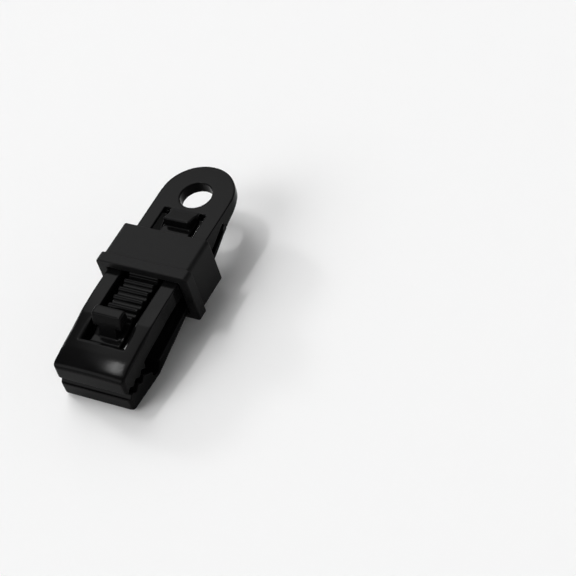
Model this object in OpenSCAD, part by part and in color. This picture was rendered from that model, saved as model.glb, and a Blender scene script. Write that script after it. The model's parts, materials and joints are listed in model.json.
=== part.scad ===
// Tarp clip: two toothed jaws that meet at a lashing eye, a ratchet tongue and a locking sleeve.
// X runs across the clip, +Y towards the eye and +Z up. The origin is on the eye's axis,
// in the flat top face, and depths are measured down from that face. Sizes are in millimetres.

/* [Eye] */
// Diameter of the bore that takes the lashing
eye_d = 10; // [7:0.1:11]
// Thickness of the plate round the bore
eye_t = 3.9; // [3.5:0.1:5]
// Web between the bore and the back of the window
eye_web = 1.6; // [1.4:0.1:2.5]

/* [Upper jaw] */
// Overall length, from the back of the eye to the front of the mouth
clip_l = 80; // [76:0.5:95]
// Width of both jaws, and outer diameter of the eye
body_w = 24; // [22:0.5:30]
// Depth of the rails that the sleeve runs on
rail_t = 5.2; // [4.6:0.1:6]
// Width of the window in the upper arm
window_w = 14.2; // [12:0.1:16]
// Length of the head in front of the window
head_l = 10; // [8.5:0.5:12]
// Length of the part of the top that slopes down to the mouth
slope_l = 18.5; // [14:0.5:24]
// Slope of the head's top, in degrees
head_slope = 7.4; // [3:0.1:10]
// Depth of the upper jaw just behind its teeth
brow_t = 7; // [6.4:0.1:7.6]
// Length over which the rails deepen to that depth
brow_l = 17; // [8:0.5:22]
// Length of the head's front that curves further down
crown_l = 7; // [5:0.5:9]
// Radius of that curve, seen from the side
crown_r = 30; // [24:1:60]
// Radius of the head's upper front edge
nose_r = 1.6; // [1:0.1:3.5]
// Radius of both jaws' front corners, seen from above
corner_r = 1; // [0.8:0.1:4]

/* [Teeth] */
// Distance from the front of the mouth to the upper jaw's first tooth
teeth_l = 10.5; // [9.5:0.1:11]
// Distance from one tooth to the next
tooth_pitch = 3.4; // [2.4:0.1:4.4]
// Height of a tooth from root to tip
tooth_h = 1.1; // [0.6:0.1:1.5]
// Depth of the line where the jaws meet
bite_depth = 9.65; // [9.2:0.05:10.2]
// Gap between the two rows of teeth as the sleeve stands
mouth_gap = 2.5; // [2.3:0.1:3.5]

/* [Lower jaw] */
// Depth of the arm's upper face at its knee, behind the sleeve
knee_depth = 8.5; // [8:0.1:9.5]
// Distance from the eye's axis to the knee
knee_back = 19; // [17:0.5:20]
// Distance from the knee to the middle of the bend behind it
knee_bend = 1; // [0.5:0.1:4]
// Depth of the arm behind the belly
arm_t = 2.1; // [1.8:0.1:2.6]
// Distance from the sleeve's front to the start of the belly
belly_gap = 1.4; // [0.5:0.1:3]
// Distance from the front of the mouth to the lowest point of the belly
belly_l = 14.7; // [13:0.1:17]
// Slope of the chin in front of the belly, in degrees
chin_slope = 3.4; // [1:0.1:6]
// Radius of the throat pocket behind the teeth
throat_r = 2.2; // [1.8:0.1:2.5]
// Distance from the front of the mouth to the middle of the pocket
throat_l = 14.4; // [14:0.1:15.5]
// Depth of the pocket's back rim below the roots of the teeth
throat_drop = 0.1; // [0:0.05:0.5]
// Thickness of the belly under the pocket
throat_wall = 1.3; // [1:0.1:2.5]

/* [Tongue] */
// Width of the slot on each side of the tongue
slot_w = 2; // [1:0.1:2.6]
// Thickness of the tongue
tongue_t = 2.1; // [1.6:0.1:2.6]
// Depth of its upper face
tongue_depth = 1.2; // [1:0.1:1.6]
// Height of the ridges on it
ridge_h = 1.05; // [0.6:0.05:1.1]
// Radius of a ridge's rounded back
ridge_r = 0.9; // [0.6:0.05:1.2]
// Distance from one ridge to the next
ridge_pitch = 3.2; // [2.6:0.1:4]
// Number of ridges
ridge_count = 10; // [4:1:11]
// Distance from the tab's back to the nearest ridge
ridge_back = 1.2; // [0.9:0.1:2]
// Height of the stop hump above the clip's top face
hump_h = 1.8; // [0.8:0.1:2.2]
// Width of the hump
hump_w = 9; // [5:0.1:9.6]
// Distance from the tongue's root to the hump's front
hump_l = 5.7; // [4.6:0.1:6]
// Height of the thumb tab above the clip's top face
tab_h = 4.6; // [3:0.1:6]
// Length of the tab's top
tab_l = 3.3; // [2.4:0.1:4.5]
// Width of the tab's top
tab_w = 9.8; // [6.5:0.1:10]
// Height of the tab's stem above the clip's top face
stem_h = 0.6; // [0:0.1:1.5]
// Width of the stem under the tab
stem_w = 6; // [4:0.1:6.4]
// Length of the stem's foot in front of the tab's back
stem_l = 5.6; // [4.6:0.1:6]
// Distance from the window's front to the tab's back
tab_back = 8.6; // [7.6:0.1:10]
// Depth of the tongue's nose in front of the tab
nose_depth = 2.6; // [1.6:0.1:3]
// Thickness of the nose
nose_t = 1.6; // [1.2:0.1:2]
// Gap between the nose and the window's front
nose_gap = 0.7; // [0.4:0.1:1.5]

/* [Sleeve] */
// Distance from the eye's axis to the sleeve's back edge
sleeve_back = 17.5; // [16.5:0.1:24]
// Length of the sleeve with its flange
sleeve_l = 15.7; // [12:0.1:19]
// Thickness of its top and sides
sleeve_wall = 2.3; // [1.4:0.05:3]
// Thickness of its floor
sleeve_floor = 1.45; // [1.2:0.05:2.4]
// Radius of its long outer edges
sleeve_r = 1.2; // [0.6:0.1:2]
// Length of the flange along the clip
flange_l = 3.5; // [2:0.1:5]
// Height of the flange on the sides and floor
flange_h = 0.9; // [0.4:0.1:2]
// Height of the flange on top
flange_top_h = 0.3; // [0.2:0.1:1.5]
// Clearance of the sleeve round both arms
sleeve_gap = 0.35; // [0.2:0.05:0.6]
// Length of the catch rib inside the sleeve's top
rib_l = 1.2; // [0.8:0.1:2]
// Clearance between the catch rib and the ridges
rib_gap = 0.2; // [0.15:0.05:0.4]

/* [Hinges] */
// Radius of the hinge beads at the roots of the tongue and the lower jaw
bead_r = 1; // [0.8:0.05:1.1]
// Clearance round the hinge beads
bead_fit = 0.05; // [0.02:0.01:0.1]
// How far the beads sit into the eye plate
bead_set = 0.4; // [0.3:0.05:0.5]
// Depth of the lower jaw's hinge axis
hinge_depth = 4.65; // [4.5:0.05:4.9]
// Depth of the upper arm above that hinge
neck_t = 2.5; // [2.2:0.1:3]
// Distance from that hinge back to where the eye plate's sides start to deepen towards it
flare_l = 8; // [6:0.5:9]

/* [Hidden] */

$fn = 64;
black = "#1d1d1f";
over = 1;

// Places along the clip
front_y = body_w / 2 - clip_l;
window_back_y = -eye_d / 2 - eye_web;
window_front_y = front_y + head_l;
slope_y = front_y + slope_l;
first_tooth_y = front_y + teeth_l;
brow_y = first_tooth_y + brow_l;
rail_back_y = window_back_y - rail_t - 2 * bead_r;
knee_y = -knee_back;
belly_y = front_y + belly_l;
throat_y = front_y + throat_l;
sleeve_y = -sleeve_back;
sleeve_front_y = sleeve_y - sleeve_l;
arm_front_y = sleeve_front_y - belly_gap;
tab_y = window_front_y + tab_back;
nose_y = window_front_y + nose_gap;

// Hinge axes, each as a distance along the clip and a height
jaw_axis = [window_back_y + bead_set, -hinge_depth];
tongue_axis = [window_back_y - bead_set, -tongue_depth - tongue_t / 2 + bead_r / 2];

// Heights of the lower jaw: roots of its teeth, back rim and axis of the pocket, lowest point
tooth_root_z = -bite_depth - mouth_gap - tooth_h / 2;
throat_z = tooth_root_z - throat_drop;
throat_axis = [throat_y, throat_z - throat_r / 4];
belly_z = throat_axis[1] - throat_r - throat_wall;

// Widths and heights that fit together
tongue_w = window_w - 2 * slot_w;
ridge_top = ridge_h - tongue_depth;
bead_in = window_w / 2 + sleeve_gap;
bore_w = body_w + 2 * sleeve_gap;
bore_top = sleeve_gap;
bore_floor = lower_under(sleeve_front_y) - sleeve_gap;
tongue_seam = 2 * bead_fit;
tongue_under = -tongue_depth - tongue_t;

// Angles on the lower jaw's hinge bead where its under face starts and the eye plate's flare ends
root_angle = -75;
flare_angle = -40;

// Height of the head's top in front of the slope's start
function head_top(y) = -tan(head_slope) * (slope_y - y);

// Rise and fall of the teeth about the middle of their row
function tooth_wave(y) = tooth_h / 2 * cos(360 * (y - first_tooth_y) / tooth_pitch);
function upper_bite(y) = mouth_gap / 2 - bite_depth - tooth_wave(y);
function lower_bite(y) = -mouth_gap / 2 - bite_depth - tooth_wave(y);

// Height at a distance along the clip on the line between two points
function on_line(a, b, y) = a[1] + (b[1] - a[1]) * (y - a[0]) / (b[0] - a[0]);

// Upper and under faces of the lower arm in front of its knee
function lower_top(y) = on_line([knee_y, -knee_depth], [throat_y, throat_z], y);
function lower_under(y) =
    y > arm_front_y
        ? lower_top(y) - arm_t
        : on_line([arm_front_y, lower_top(arm_front_y) - arm_t], [belly_y, belly_z], y);

// Curve from a start point to an end point that leaves and arrives along the lines to the bend
function bend(a, b, c, steps = 10) =
    [for (i = [0 : steps]) let (t = i / steps) (1 - t) ^ 2 * a + 2 * t * (1 - t) * b + t ^ 2 * c];

// Arc round a centre, from one angle to another
function arc(c, r, from, to, steps = 10) =
    [for (i = [0 : steps]) let (a = from + (to - from) * i / steps) c + r * [cos(a), sin(a)]];

// List without its last point
function but_last(list) = [for (i = [0 : len(list) - 2]) list[i]];

// Extrudes an outline, drawn along the clip and up, across the clip
module across(w) {
    rotate([90, 0, 90]) linear_extrude(w, center = true) children();
}

// Round bar across the clip
module bar(axis, r, w) {
    translate([0, axis[0], axis[1]]) rotate([0, 90, 0]) cylinder(r = r, h = w, center = true);
}

// Plan of both jaws: a round eye, straight sides and rounded front corners
module plan() {
    circle(d = body_w);
    translate([-body_w / 2, front_y + corner_r]) square([body_w, -front_y - corner_r]);
    translate([corner_r - body_w / 2, front_y]) square([body_w - 2 * corner_r, body_w / 2]);
    for (side = [-1, 1]) translate([side * (body_w / 2 - corner_r), front_y + corner_r]) circle(r = corner_r);
}

// Rectangle with four round corners, from a lower left to an upper right point
module rounded(low, high, r) {
    translate([low[0] + r, low[1]]) square([high[0] - low[0] - 2 * r, high[1] - low[1]]);
    translate([low[0], low[1] + r]) square([high[0] - low[0], high[1] - low[1] - 2 * r]);
    for (x = [low[0] + r, high[0] - r], y = [low[1] + r, high[1] - r]) translate([x, y]) circle(r = r);
}

// Cuts a jaw's side outline to the plan
module jaw_blank() {
    intersection() {
        across(body_w) children();
        translate([0, 0, -bite_depth - body_w]) linear_extrude(bite_depth + 2 * body_w) plan();
    }
}

// Side outline of the upper jaw
module upper_outline() {
    crown_y = front_y + crown_l;
    crown = [crown_y, head_top(crown_y)] - crown_r * [-sin(head_slope), cos(head_slope)];
    edge_y = front_y + nose_r;
    nose = [edge_y, crown[1] + sqrt((crown_r - nose_r) ^ 2 - (edge_y - crown[0]) ^ 2)];
    turn = atan2(nose[1] - crown[1], nose[0] - crown[0]);
    teeth = [for (y = [front_y : tooth_pitch / 12 : first_tooth_y]) [y, upper_bite(y)]];
    polygon(concat(
        [[body_w / 2, -eye_t], [body_w / 2, 0], [slope_y, 0]],
        but_last(arc(crown, crown_r, 90 + head_slope, turn)),
        arc(nose, nose_r, turn, 180),
        teeth,
        [[first_tooth_y + tooth_h / 2, -brow_t], [brow_y, -rail_t], [rail_back_y, -rail_t]],
        [[jaw_axis[0], -neck_t], jaw_axis, jaw_axis + bead_r * [cos(flare_angle), sin(flare_angle)]],
        [[jaw_axis[0] + flare_l, -eye_t]]
    ));
}

module upper_jaw() {
    color(black) difference() {
        jaw_blank() upper_outline();
        translate([0, 0, -eye_t - over]) cylinder(d = eye_d, h = eye_t + 2 * over);
        translate([-window_w / 2, window_front_y, -bite_depth])
            cube([window_w, window_back_y - window_front_y, bite_depth + over]);
        translate([-window_w / 2, window_back_y - over, -bite_depth])
            cube([window_w, bead_set + over, bite_depth + tongue_axis[1]]);
        translate([-bead_in, jaw_axis[0] - over, -bite_depth])
            cube([2 * bead_in, flare_l + 2 * over, bite_depth - eye_t]);
        for (side = [-1, 1]) translate([side * (bead_in + body_w) / 2, 0, 0])
            bar(jaw_axis, bead_r + bead_fit, body_w - bead_in + 2 * bead_fit);
        bar(tongue_axis, bead_r + bead_fit, tongue_w + 2 * bead_fit);
    }
}

// Side outline of the lower jaw, without its throat pocket
module lower_outline() {
    knee_top = [knee_y, lower_top(knee_y)];
    knee_under = [knee_y, lower_under(knee_y)];
    root_top = jaw_axis;
    root_under = jaw_axis + (bead_r - bead_fit) * [cos(root_angle), sin(root_angle)];
    bend_y = knee_y + knee_bend;
    flank_y = first_tooth_y - tooth_pitch / 5;
    teeth = [for (y = [flank_y : -tooth_pitch / 12 : front_y]) [y, lower_bite(y)]];
    chin_z = belly_z + tan(chin_slope) * (belly_y - front_y);
    polygon(concat(
        bend(root_top, [bend_y, lower_top(bend_y)], knee_top),
        [[throat_y, throat_z], [throat_y - throat_r, tooth_root_z]],
        teeth,
        [[front_y, lower_bite(front_y)], [front_y, chin_z], [belly_y, belly_z]],
        [[arm_front_y, lower_under(arm_front_y)]],
        bend(knee_under, [bend_y, lower_under(bend_y)], root_under)
    ));
}

module lower_jaw() {
    leg_front_y = (jaw_axis[0] + knee_y) / 2;
    color(black) {
        difference() {
            jaw_blank() lower_outline();
            translate([-bead_in, leg_front_y, -2 * bite_depth])
                cube([2 * bead_in, -leg_front_y, 2 * bite_depth]);
            bar(throat_axis, throat_r, body_w + 2 * over);
        }
        for (side = [-1, 1]) translate([side * (bead_in + body_w / 2) / 2, 0, 0])
            bar(jaw_axis, bead_r, body_w / 2 - bead_in);
    }
}

// Side outline of the tongue's strip and nose
module strip_outline() {
    root_y = window_back_y - tongue_seam;
    foot_y = tab_y - stem_l;
    polygon([
        [root_y, tongue_axis[1]], [root_y, 0], [root_y - bead_r, 0],
        [root_y - bead_r - tongue_depth, -tongue_depth], [tab_y, -tongue_depth],
        [foot_y, -nose_depth], [nose_y, -nose_depth], [nose_y, -nose_depth - nose_t],
        [foot_y, -nose_depth - nose_t], [tab_y, tongue_under], [tongue_axis[0], tongue_under]
    ]);
}

// Side outline of the ramp that stops the sleeve
module hump_outline() {
    root_y = window_back_y - tongue_seam;
    hump_y = window_back_y - hump_l;
    polygon([[root_y, 0], [hump_y, hump_h], [hump_y, tongue_under], [root_y - bead_r, tongue_under]]);
}

// Side outline of the tab above its stem, or of the stem
module tab_outline(low, high) {
    foot_y = tab_y - stem_l;
    reach = (stem_l - tab_l) / (tab_h + nose_depth);
    polygon([
        [tab_y, low], [tab_y, high],
        [foot_y + reach * (high + nose_depth), high], [foot_y + reach * (low + nose_depth), low]
    ]);
}

module ratchet_tongue() {
    color(black) {
        across(tongue_w) strip_outline();
        across(hump_w) hump_outline();
        across(stem_w) tab_outline(-nose_depth, stem_h);
        across(tab_w) tab_outline(stem_h, tab_h);
        bar(tongue_axis, bead_r, tongue_w);
        for (i = [0 : ridge_count - 1])
            bar([tab_y + ridge_back + i * ridge_pitch, ridge_top - ridge_r], ridge_r, tongue_w);
    }
}

// Stretch of the sleeve's outside, grown by a step on the sides, floor and top
module sleeve_shell(y, l, side, top) {
    w = bore_w / 2 + sleeve_wall + side;
    translate([0, y + l, 0]) rotate([90, 0, 0]) linear_extrude(l)
        rounded([-w, bore_floor - sleeve_floor - side], [w, bore_top + sleeve_wall + top], sleeve_r);
}

module locking_sleeve() {
    rib_w = tongue_w - slot_w / 2;
    color(black) {
        difference() {
            union() {
                sleeve_shell(sleeve_front_y, sleeve_l, 0, 0);
                sleeve_shell(sleeve_front_y, flange_l, flange_h, flange_top_h);
            }
            translate([-bore_w / 2, sleeve_front_y - over, bore_floor])
                cube([bore_w, sleeve_l + 2 * over, bore_top - bore_floor]);
        }
        translate([-rib_w / 2, sleeve_front_y + rib_l, ridge_top + rib_gap])
            cube([rib_w, rib_l, bore_top - ridge_top - rib_gap + sleeve_wall / 2]);
    }
}

upper_jaw();
lower_jaw();
ratchet_tongue();
locking_sleeve();
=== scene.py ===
import json
import math

import bmesh
import bpy
import numpy as np
from mathutils import Matrix, Vector


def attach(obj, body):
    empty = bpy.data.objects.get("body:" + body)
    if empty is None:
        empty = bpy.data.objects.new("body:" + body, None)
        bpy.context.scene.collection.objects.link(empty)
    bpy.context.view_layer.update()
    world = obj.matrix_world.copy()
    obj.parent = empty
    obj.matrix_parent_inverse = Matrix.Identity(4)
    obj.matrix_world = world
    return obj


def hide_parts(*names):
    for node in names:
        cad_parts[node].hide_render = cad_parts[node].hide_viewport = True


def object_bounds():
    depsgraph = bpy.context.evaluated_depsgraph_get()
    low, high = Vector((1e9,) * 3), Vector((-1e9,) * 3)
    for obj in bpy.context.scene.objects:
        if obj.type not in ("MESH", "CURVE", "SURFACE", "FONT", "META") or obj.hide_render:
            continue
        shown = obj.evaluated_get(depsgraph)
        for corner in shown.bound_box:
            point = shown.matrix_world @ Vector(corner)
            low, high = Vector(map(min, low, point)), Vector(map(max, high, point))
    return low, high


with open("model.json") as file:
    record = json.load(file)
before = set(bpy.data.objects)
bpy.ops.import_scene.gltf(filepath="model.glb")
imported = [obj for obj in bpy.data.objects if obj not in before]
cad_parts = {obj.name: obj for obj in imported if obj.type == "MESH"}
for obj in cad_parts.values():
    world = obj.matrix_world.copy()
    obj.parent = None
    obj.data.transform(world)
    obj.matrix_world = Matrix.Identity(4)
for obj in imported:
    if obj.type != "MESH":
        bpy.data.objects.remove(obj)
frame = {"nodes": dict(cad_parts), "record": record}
cad_box = [list(corner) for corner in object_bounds()]

MM = 0.001

# Size of the fine grid on which each moulding's edges are rounded, in millimetres
GRID = 0.16
# Smoothing steps that give an edge a radius of one grid size
STEPS = 1.2
# Share of the fine grid's faces that a moulding keeps
KEPT = 0.2

# Distance along the clip and height of each hinge, in millimetres
HINGES = {
    joint["name"]: np.array(joint["pos_m"][1:]) / MM
    for joint in frame["record"]["behaviour"]["joints"]
    if joint["type"] == "hinge"
}


def ramp(value, start, end):
    """0 before start, 1 after end, and smooth between them."""
    t = np.clip((value - start) / (end - start), 0, 1)
    return t * t * (3 - 2 * t)


def mix(a, b, t):
    return a + (b - a) * t


def near_hinge(name, y, z, start, end):
    """1 within the start distance of a hinge's axis, and 0 past the end distance."""
    return 1 - ramp(np.hypot(y - HINGES[name][0], z - HINGES[name][1]), start, end)


# Radius of the rounding at each point of a moulding, in millimetres: x across the clip, y along it, z up

JAW_EDGE, SHOULDER, NOSE, EYE_RIM = 0.5, 1.2, 0.8, 1.2
WINDOW_EDGE, TOOTH, HINGE_ROOT = 0.3, 0.28, 0.2
CHIN, LEG = 0.7, 0.35
RIDGE, TAB, HUMP = 0.36, 0.6, 1.0
SLEEVE_EDGE, BORE_EDGE = 0.42, 0.28


def upper_round(x, y, z):
    wide = np.abs(x)
    head = ramp(-y, 47, 56) * ramp(z, -7.5, -5.5)
    rim = ramp(y, 0, 4) * ramp(np.hypot(x, y), 8, 10) * ramp(-z, 1.2, 2.4)
    window = ramp(8.6 - wide, 0, 0.6) * ramp(-y, 48, 52) * ramp(z, -2.5, -1.5)
    teeth = ramp(-y, 55.5, 57) * ramp(-z, 6.5, 7.5)
    root = ramp(5.6 - wide, 0, 0.3) * ramp(y, -7.4, -6.9) * ramp(-y, 5.4, 6.0)
    leg = ramp(wide, 6.8, 7.2) * near_hinge("jaw_close", y, z, 1.4, 2.2)
    r = mix(JAW_EDGE, SHOULDER, head * ramp(wide, 7.5, 9))
    r = mix(r, NOSE, head * ramp(-y, 64, 66))
    r = mix(r, WINDOW_EDGE, window)
    r = mix(r, EYE_RIM, rim)
    r = mix(r, TOOTH, teeth)
    return mix(r, HINGE_ROOT, np.maximum(root, leg))


def lower_round(x, y, z):
    teeth = ramp(-y, 53, 54.5) * ramp(z, -14, -13)
    legs = ramp(y, -16, -12)
    r = mix(mix(CHIN, TOOTH, teeth), LEG, legs)
    return mix(r, HINGE_ROOT, near_hinge("jaw_close", y, z, 1.4, 2.2))


def tongue_round(x, y, z):
    tab = ramp(-y, 48, 49.2) * ramp(z, 0, 1)
    hump = ramp(y, -14, -12.8) * ramp(z, -1.6, -0.8)
    root = ramp(y, -8.6, -7.2)
    r = mix(mix(RIDGE, TAB, tab), HUMP, hump)
    return mix(r, 0, root)


def sleeve_round(x, y, z):
    bore = ramp(12.9 - np.abs(x), 0, 0.5) * ramp(1.2 - z, 0, 0.5) * ramp(z, -13.4, -12.9)
    return mix(SLEEVE_EDGE, BORE_EDGE, bore)


# Slight changes of form that a mould gives, each moving points by part of a millimetre

# Radius of the head's crown, and slope, width and outer edge of the window's bevels, in millimetres
CROWN = 150
BEVEL_SLOPE, BEVEL_W, BEVEL_X = 0.34, 1, 8.1
# Share by which the legs' roots grow, and how far the tongue's root goes into the eye plate and dips there
ROOT_GROWTH = 0.07
ROOT_REACH, ROOT_DIP = 0.45, 0.02


def upper_form(points):
    """The head's top falls away a little towards its sides, and its window has bevels at the front."""
    x, y, z = points.T
    drop = x**2 / (2 * CROWN) * ramp(-y, 40, 50) * ramp(z, -6, -3)
    bevel = BEVEL_SLOPE * np.clip(BEVEL_X - np.abs(x), 0, BEVEL_W)
    bevel = bevel * ramp(-y, 49.5, 54.5) * ramp(y, -58.8, -58.1)
    return points - np.stack([0 * x, 0 * x, drop + bevel * ramp(z, -3, -2)], 1)


def lower_form(points):
    """The legs' roots fill their seats under the eye plate."""
    x, y, z = points.T
    grow = ROOT_GROWTH * near_hinge("jaw_close", y, z, 1.05, 1.5)
    dy, dz = y - HINGES["jaw_close"][0], z - HINGES["jaw_close"][1]
    return points + np.stack([0 * x, grow * dy, grow * dz], 1)


def tongue_form(points):
    """The tongue's root runs into the eye plate without a seam."""
    x, y, z = points.T
    return points + np.stack([0 * x, ROOT_REACH * ramp(y, -7.3, -6.75), -ROOT_DIP * ramp(y, -6.9, -6.7)], 1)


def as_drawn(points):
    return points


MOULDINGS = {
    "upper_jaw": (upper_form, upper_round, "jaw_plastic"),
    "lower_jaw": (lower_form, lower_round, "jaw_plastic"),
    "ratchet_tongue": (tongue_form, tongue_round, "jaw_plastic"),
    "locking_sleeve": (as_drawn, sleeve_round, "sleeve_plastic"),
}


def modified(mesh, kind, **settings):
    """The mesh after one modifier."""
    holder = bpy.data.objects.new("holder", mesh)
    bpy.context.collection.objects.link(holder)
    modifier = holder.modifiers.new(kind.lower(), kind)
    for name, value in settings.items():
        setattr(modifier, name, value)
    result = bpy.data.meshes.new_from_object(holder.evaluated_get(bpy.context.evaluated_depsgraph_get()))
    bpy.data.objects.remove(holder)
    bpy.data.meshes.remove(mesh)
    return result


def moulded(node, form_of, round_of):
    """The node's own form as a moulding, with the edges rounded as they come out of a mould."""
    bm = bmesh.new()
    bm.from_mesh(frame["nodes"][node].data)
    bmesh.ops.remove_doubles(bm, verts=bm.verts, dist=2e-6)
    mesh = bpy.data.meshes.new(node + "_closed")
    bm.to_mesh(mesh)
    bm.free()
    mesh = modified(mesh, "REMESH", mode="VOXEL", voxel_size=GRID * MM)

    count = len(mesh.vertices)
    flat = np.empty(count * 3)
    mesh.vertices.foreach_get("co", flat)
    points = flat.reshape(-1, 3) / MM
    pairs = np.empty(len(mesh.edges) * 2, dtype=np.int32)
    mesh.edges.foreach_get("vertices", pairs)
    a, b = pairs.reshape(-1, 2).T
    ends, others = np.concatenate([a, b]), np.concatenate([b, a])
    neighbours = np.bincount(ends, minlength=count)[:, None]
    steps = STEPS * (round_of(*points.T) / GRID) ** 2
    points = form_of(points)
    for step in range(int(steps.max()) + 1):
        share = 0.5 * np.clip(steps - step, 0, 1)[:, None]
        mean = np.stack([np.bincount(ends, points[others, i], count) for i in range(3)], 1) / neighbours
        points += share * (mean - points)
    mesh.vertices.foreach_set("co", (points * MM).ravel())
    mesh.update()
    mesh = modified(mesh, "DECIMATE", ratio=KEPT)
    mesh.shade_smooth()

    mesh.name = node + "_moulding"
    piece = bpy.data.objects.new(node + "_moulding", mesh)
    bpy.context.collection.objects.link(piece)
    body = next(b for b, members in frame["record"]["behaviour"]["bodies"].items() if node in members)
    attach(piece, body)
    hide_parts(node)
    return piece


def plastic(name, tone, gloss, rough, grain):
    """Black moulded plastic: a fine mould grain, with clouds of slightly duller and shinier skin."""
    m = bpy.data.materials.new(name)
    m.use_nodes = True
    nodes, links = m.node_tree.nodes, m.node_tree.links
    shader = nodes["Principled BSDF"]
    shader.inputs["IOR"].default_value = 1.5
    shader.inputs["Specular IOR Level"].default_value = gloss
    where = nodes.new("ShaderNodeTexCoord")

    def noise(scale, detail):
        n = nodes.new("ShaderNodeTexNoise")
        n.inputs["Scale"].default_value = scale
        n.inputs["Detail"].default_value = detail
        links.new(where.outputs["Object"], n.inputs["Vector"])
        return n

    cloud = noise(220, 3)
    fine = noise(5200, 2)

    colour = nodes.new("ShaderNodeValToRGB")
    colour.color_ramp.elements[0].position = 0.3
    colour.color_ramp.elements[0].color = [c * 0.88 for c in tone] + [1]
    colour.color_ramp.elements[1].position = 0.7
    colour.color_ramp.elements[1].color = [c * 1.12 for c in tone] + [1]
    links.new(cloud.outputs["Fac"], colour.inputs["Fac"])
    links.new(colour.outputs["Color"], shader.inputs["Base Color"])

    skin = nodes.new("ShaderNodeMapRange")
    skin.inputs["From Min"].default_value = 0.3
    skin.inputs["From Max"].default_value = 0.7
    skin.inputs["To Min"].default_value = rough * 0.95
    skin.inputs["To Max"].default_value = rough * 1.05
    links.new(cloud.outputs["Fac"], skin.inputs["Value"])
    links.new(skin.outputs["Result"], shader.inputs["Roughness"])

    bump = nodes.new("ShaderNodeBump")
    bump.inputs["Strength"].default_value = grain
    bump.inputs["Distance"].default_value = 0.02 * MM
    links.new(fine.outputs["Fac"], bump.inputs["Height"])
    links.new(bump.outputs["Normal"], shader.inputs["Normal"])
    return m


PLASTICS = {
    "jaw_plastic": plastic("jaw_plastic", (0.0040, 0.0040, 0.0041), 0.04, 0.12, 0.10),
    "sleeve_plastic": plastic("sleeve_plastic", (0.0080, 0.0080, 0.0082), 0.06, 0.45, 0.30),
}

for node, (form_of, round_of, slot) in MOULDINGS.items():
    piece = moulded(node, form_of, round_of)
    piece.data.materials.append(PLASTICS[slot])
    frame["nodes"][node].data.materials.clear()
    frame["nodes"][node].data.materials.append(PLASTICS[slot])

# Floor

floor_mesh = bpy.data.meshes.new("floor")
floor_z = cad_box[0][2] - 0.02 * MM
reach = 6.0
floor_mesh.from_pydata(
    [(-reach, -reach, floor_z), (reach, -reach, floor_z), (reach, reach, floor_z), (-reach, reach, floor_z)],
    [],
    [(0, 1, 2, 3)],
)
floor = bpy.data.objects.new("floor", floor_mesh)
bpy.context.collection.objects.link(floor)
paper = bpy.data.materials.new("paper")
paper.use_nodes = True
paper_inputs = paper.node_tree.nodes["Principled BSDF"].inputs
paper_inputs["Base Color"].default_value = (0.93, 0.93, 0.93, 1)
paper_inputs["Roughness"].default_value = 0.9
paper_inputs["Specular IOR Level"].default_value = 0.1
floor_mesh.materials.append(paper)

# Light: a room that is pale near the floor, with four soft glows, and two lamps at the left

# Height in the sky, from 0 at the horizon to 1 overhead, and brightness there
ROOM = ((0.0, 0.80), (0.35, 0.55), (0.55, 0.20), (0.75, 0.07))

# Direction, strength, and angles from its middle at which a glow starts to fade and ends
GLOWS = (
    ((-0.50, 0.62, 0.60), 1.3, 9, 27),
    ((-0.48, 0.43, 0.76), 2.8, 4, 13),
    ((-0.52, -0.60, 0.60), 3.4, 9, 28),
    ((-0.30, 0.25, 0.92), 2.7, 5, 20),
)

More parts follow.
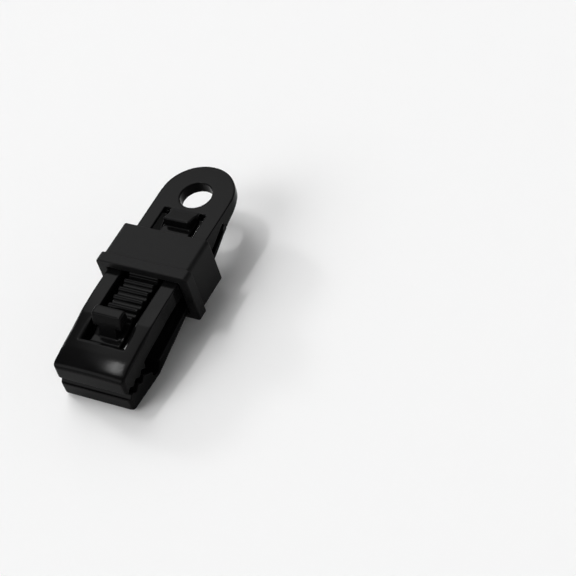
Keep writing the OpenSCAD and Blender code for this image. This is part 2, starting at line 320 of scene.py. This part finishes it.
world = bpy.data.worlds.new("studio")
world.use_nodes = True
nodes, links = world.node_tree.nodes, world.node_tree.links
sky = nodes.new("ShaderNodeTexCoord")
height = nodes.new("ShaderNodeSeparateXYZ")
shade = nodes.new("ShaderNodeValToRGB")
for _ in ROOM[2:]:
    shade.color_ramp.elements.new(0.5)
for stop, (position, level) in zip(shade.color_ramp.elements, ROOM):
    stop.position = position
    stop.color = (level, level, level, 1)
links.new(sky.outputs["Generated"], height.inputs["Vector"])
links.new(height.outputs["Z"], shade.inputs["Fac"])
light = shade.outputs["Color"]
for direction, level, inner, outer in GLOWS:
    facing = nodes.new("ShaderNodeVectorMath")
    facing.operation = "DOT_PRODUCT"
    facing.inputs[1].default_value = Vector(direction).normalized()
    links.new(sky.outputs["Generated"], facing.inputs[0])
    fade = nodes.new("ShaderNodeMapRange")
    fade.interpolation_type = "SMOOTHSTEP"
    fade.inputs["From Min"].default_value = math.cos(math.radians(outer))
    fade.inputs["From Max"].default_value = math.cos(math.radians(inner))
    fade.inputs["To Max"].default_value = level
    links.new(facing.outputs["Value"], fade.inputs["Value"])
    both = nodes.new("ShaderNodeVectorMath")
    links.new(light, both.inputs[0])
    links.new(fade.outputs["Result"], both.inputs[1])
    light = both.outputs["Vector"]
links.new(light, nodes["Background"].inputs["Color"])
nodes["Background"].inputs["Strength"].default_value = 1.0
bpy.context.scene.world = world

# Where the lamps stand, how wide they look or are, and how strong they are
SIDE_FROM, SIDE_ANGLE, SIDE_STRENGTH = Vector((-0.845, 0.32, 0.43)), math.radians(9), 0.6
STRIP_AT, STRIP_SIZE, STRIP_WATTS = (-2.78, 0.37, 5.85), (0.40, 1.50), 76

side = bpy.data.objects.new("side", bpy.data.lights.new("side", "SUN"))
bpy.context.collection.objects.link(side)
side.data.angle = SIDE_ANGLE
side.data.energy = SIDE_STRENGTH
side.rotation_euler = SIDE_FROM.to_track_quat("Z", "Y").to_euler()

strip = bpy.data.objects.new("strip", bpy.data.lights.new("strip", "AREA"))
bpy.context.collection.objects.link(strip)
strip.data.shape = "ELLIPSE"
strip.data.size, strip.data.size_y = STRIP_SIZE
strip.data.energy = STRIP_WATTS
strip.location = STRIP_AT

# Camera, at the photograph's place and angle

camera = bpy.data.objects.new("camera", bpy.data.cameras.new("camera"))
bpy.context.collection.objects.link(camera)
camera.data.lens = 125.0
camera.data.sensor_width = 36.0
camera.data.clip_start = 0.01
right = Vector((0.8707, 0.4389, -0.2221))
down = Vector((0.1997, -0.7280, -0.6559))
forward = Vector((-0.4495, 0.5267, -0.7215))
place = Vector((0.2962, -0.32075, 0.40417))
camera.matrix_world = Matrix((
    (right.x, -down.x, -forward.x, place.x),
    (right.y, -down.y, -forward.y, place.y),
    (right.z, -down.z, -forward.z, place.z),
    (0, 0, 0, 1),
))
bpy.context.scene.camera = camera
bpy.context.scene.view_settings.view_transform = "Standard"
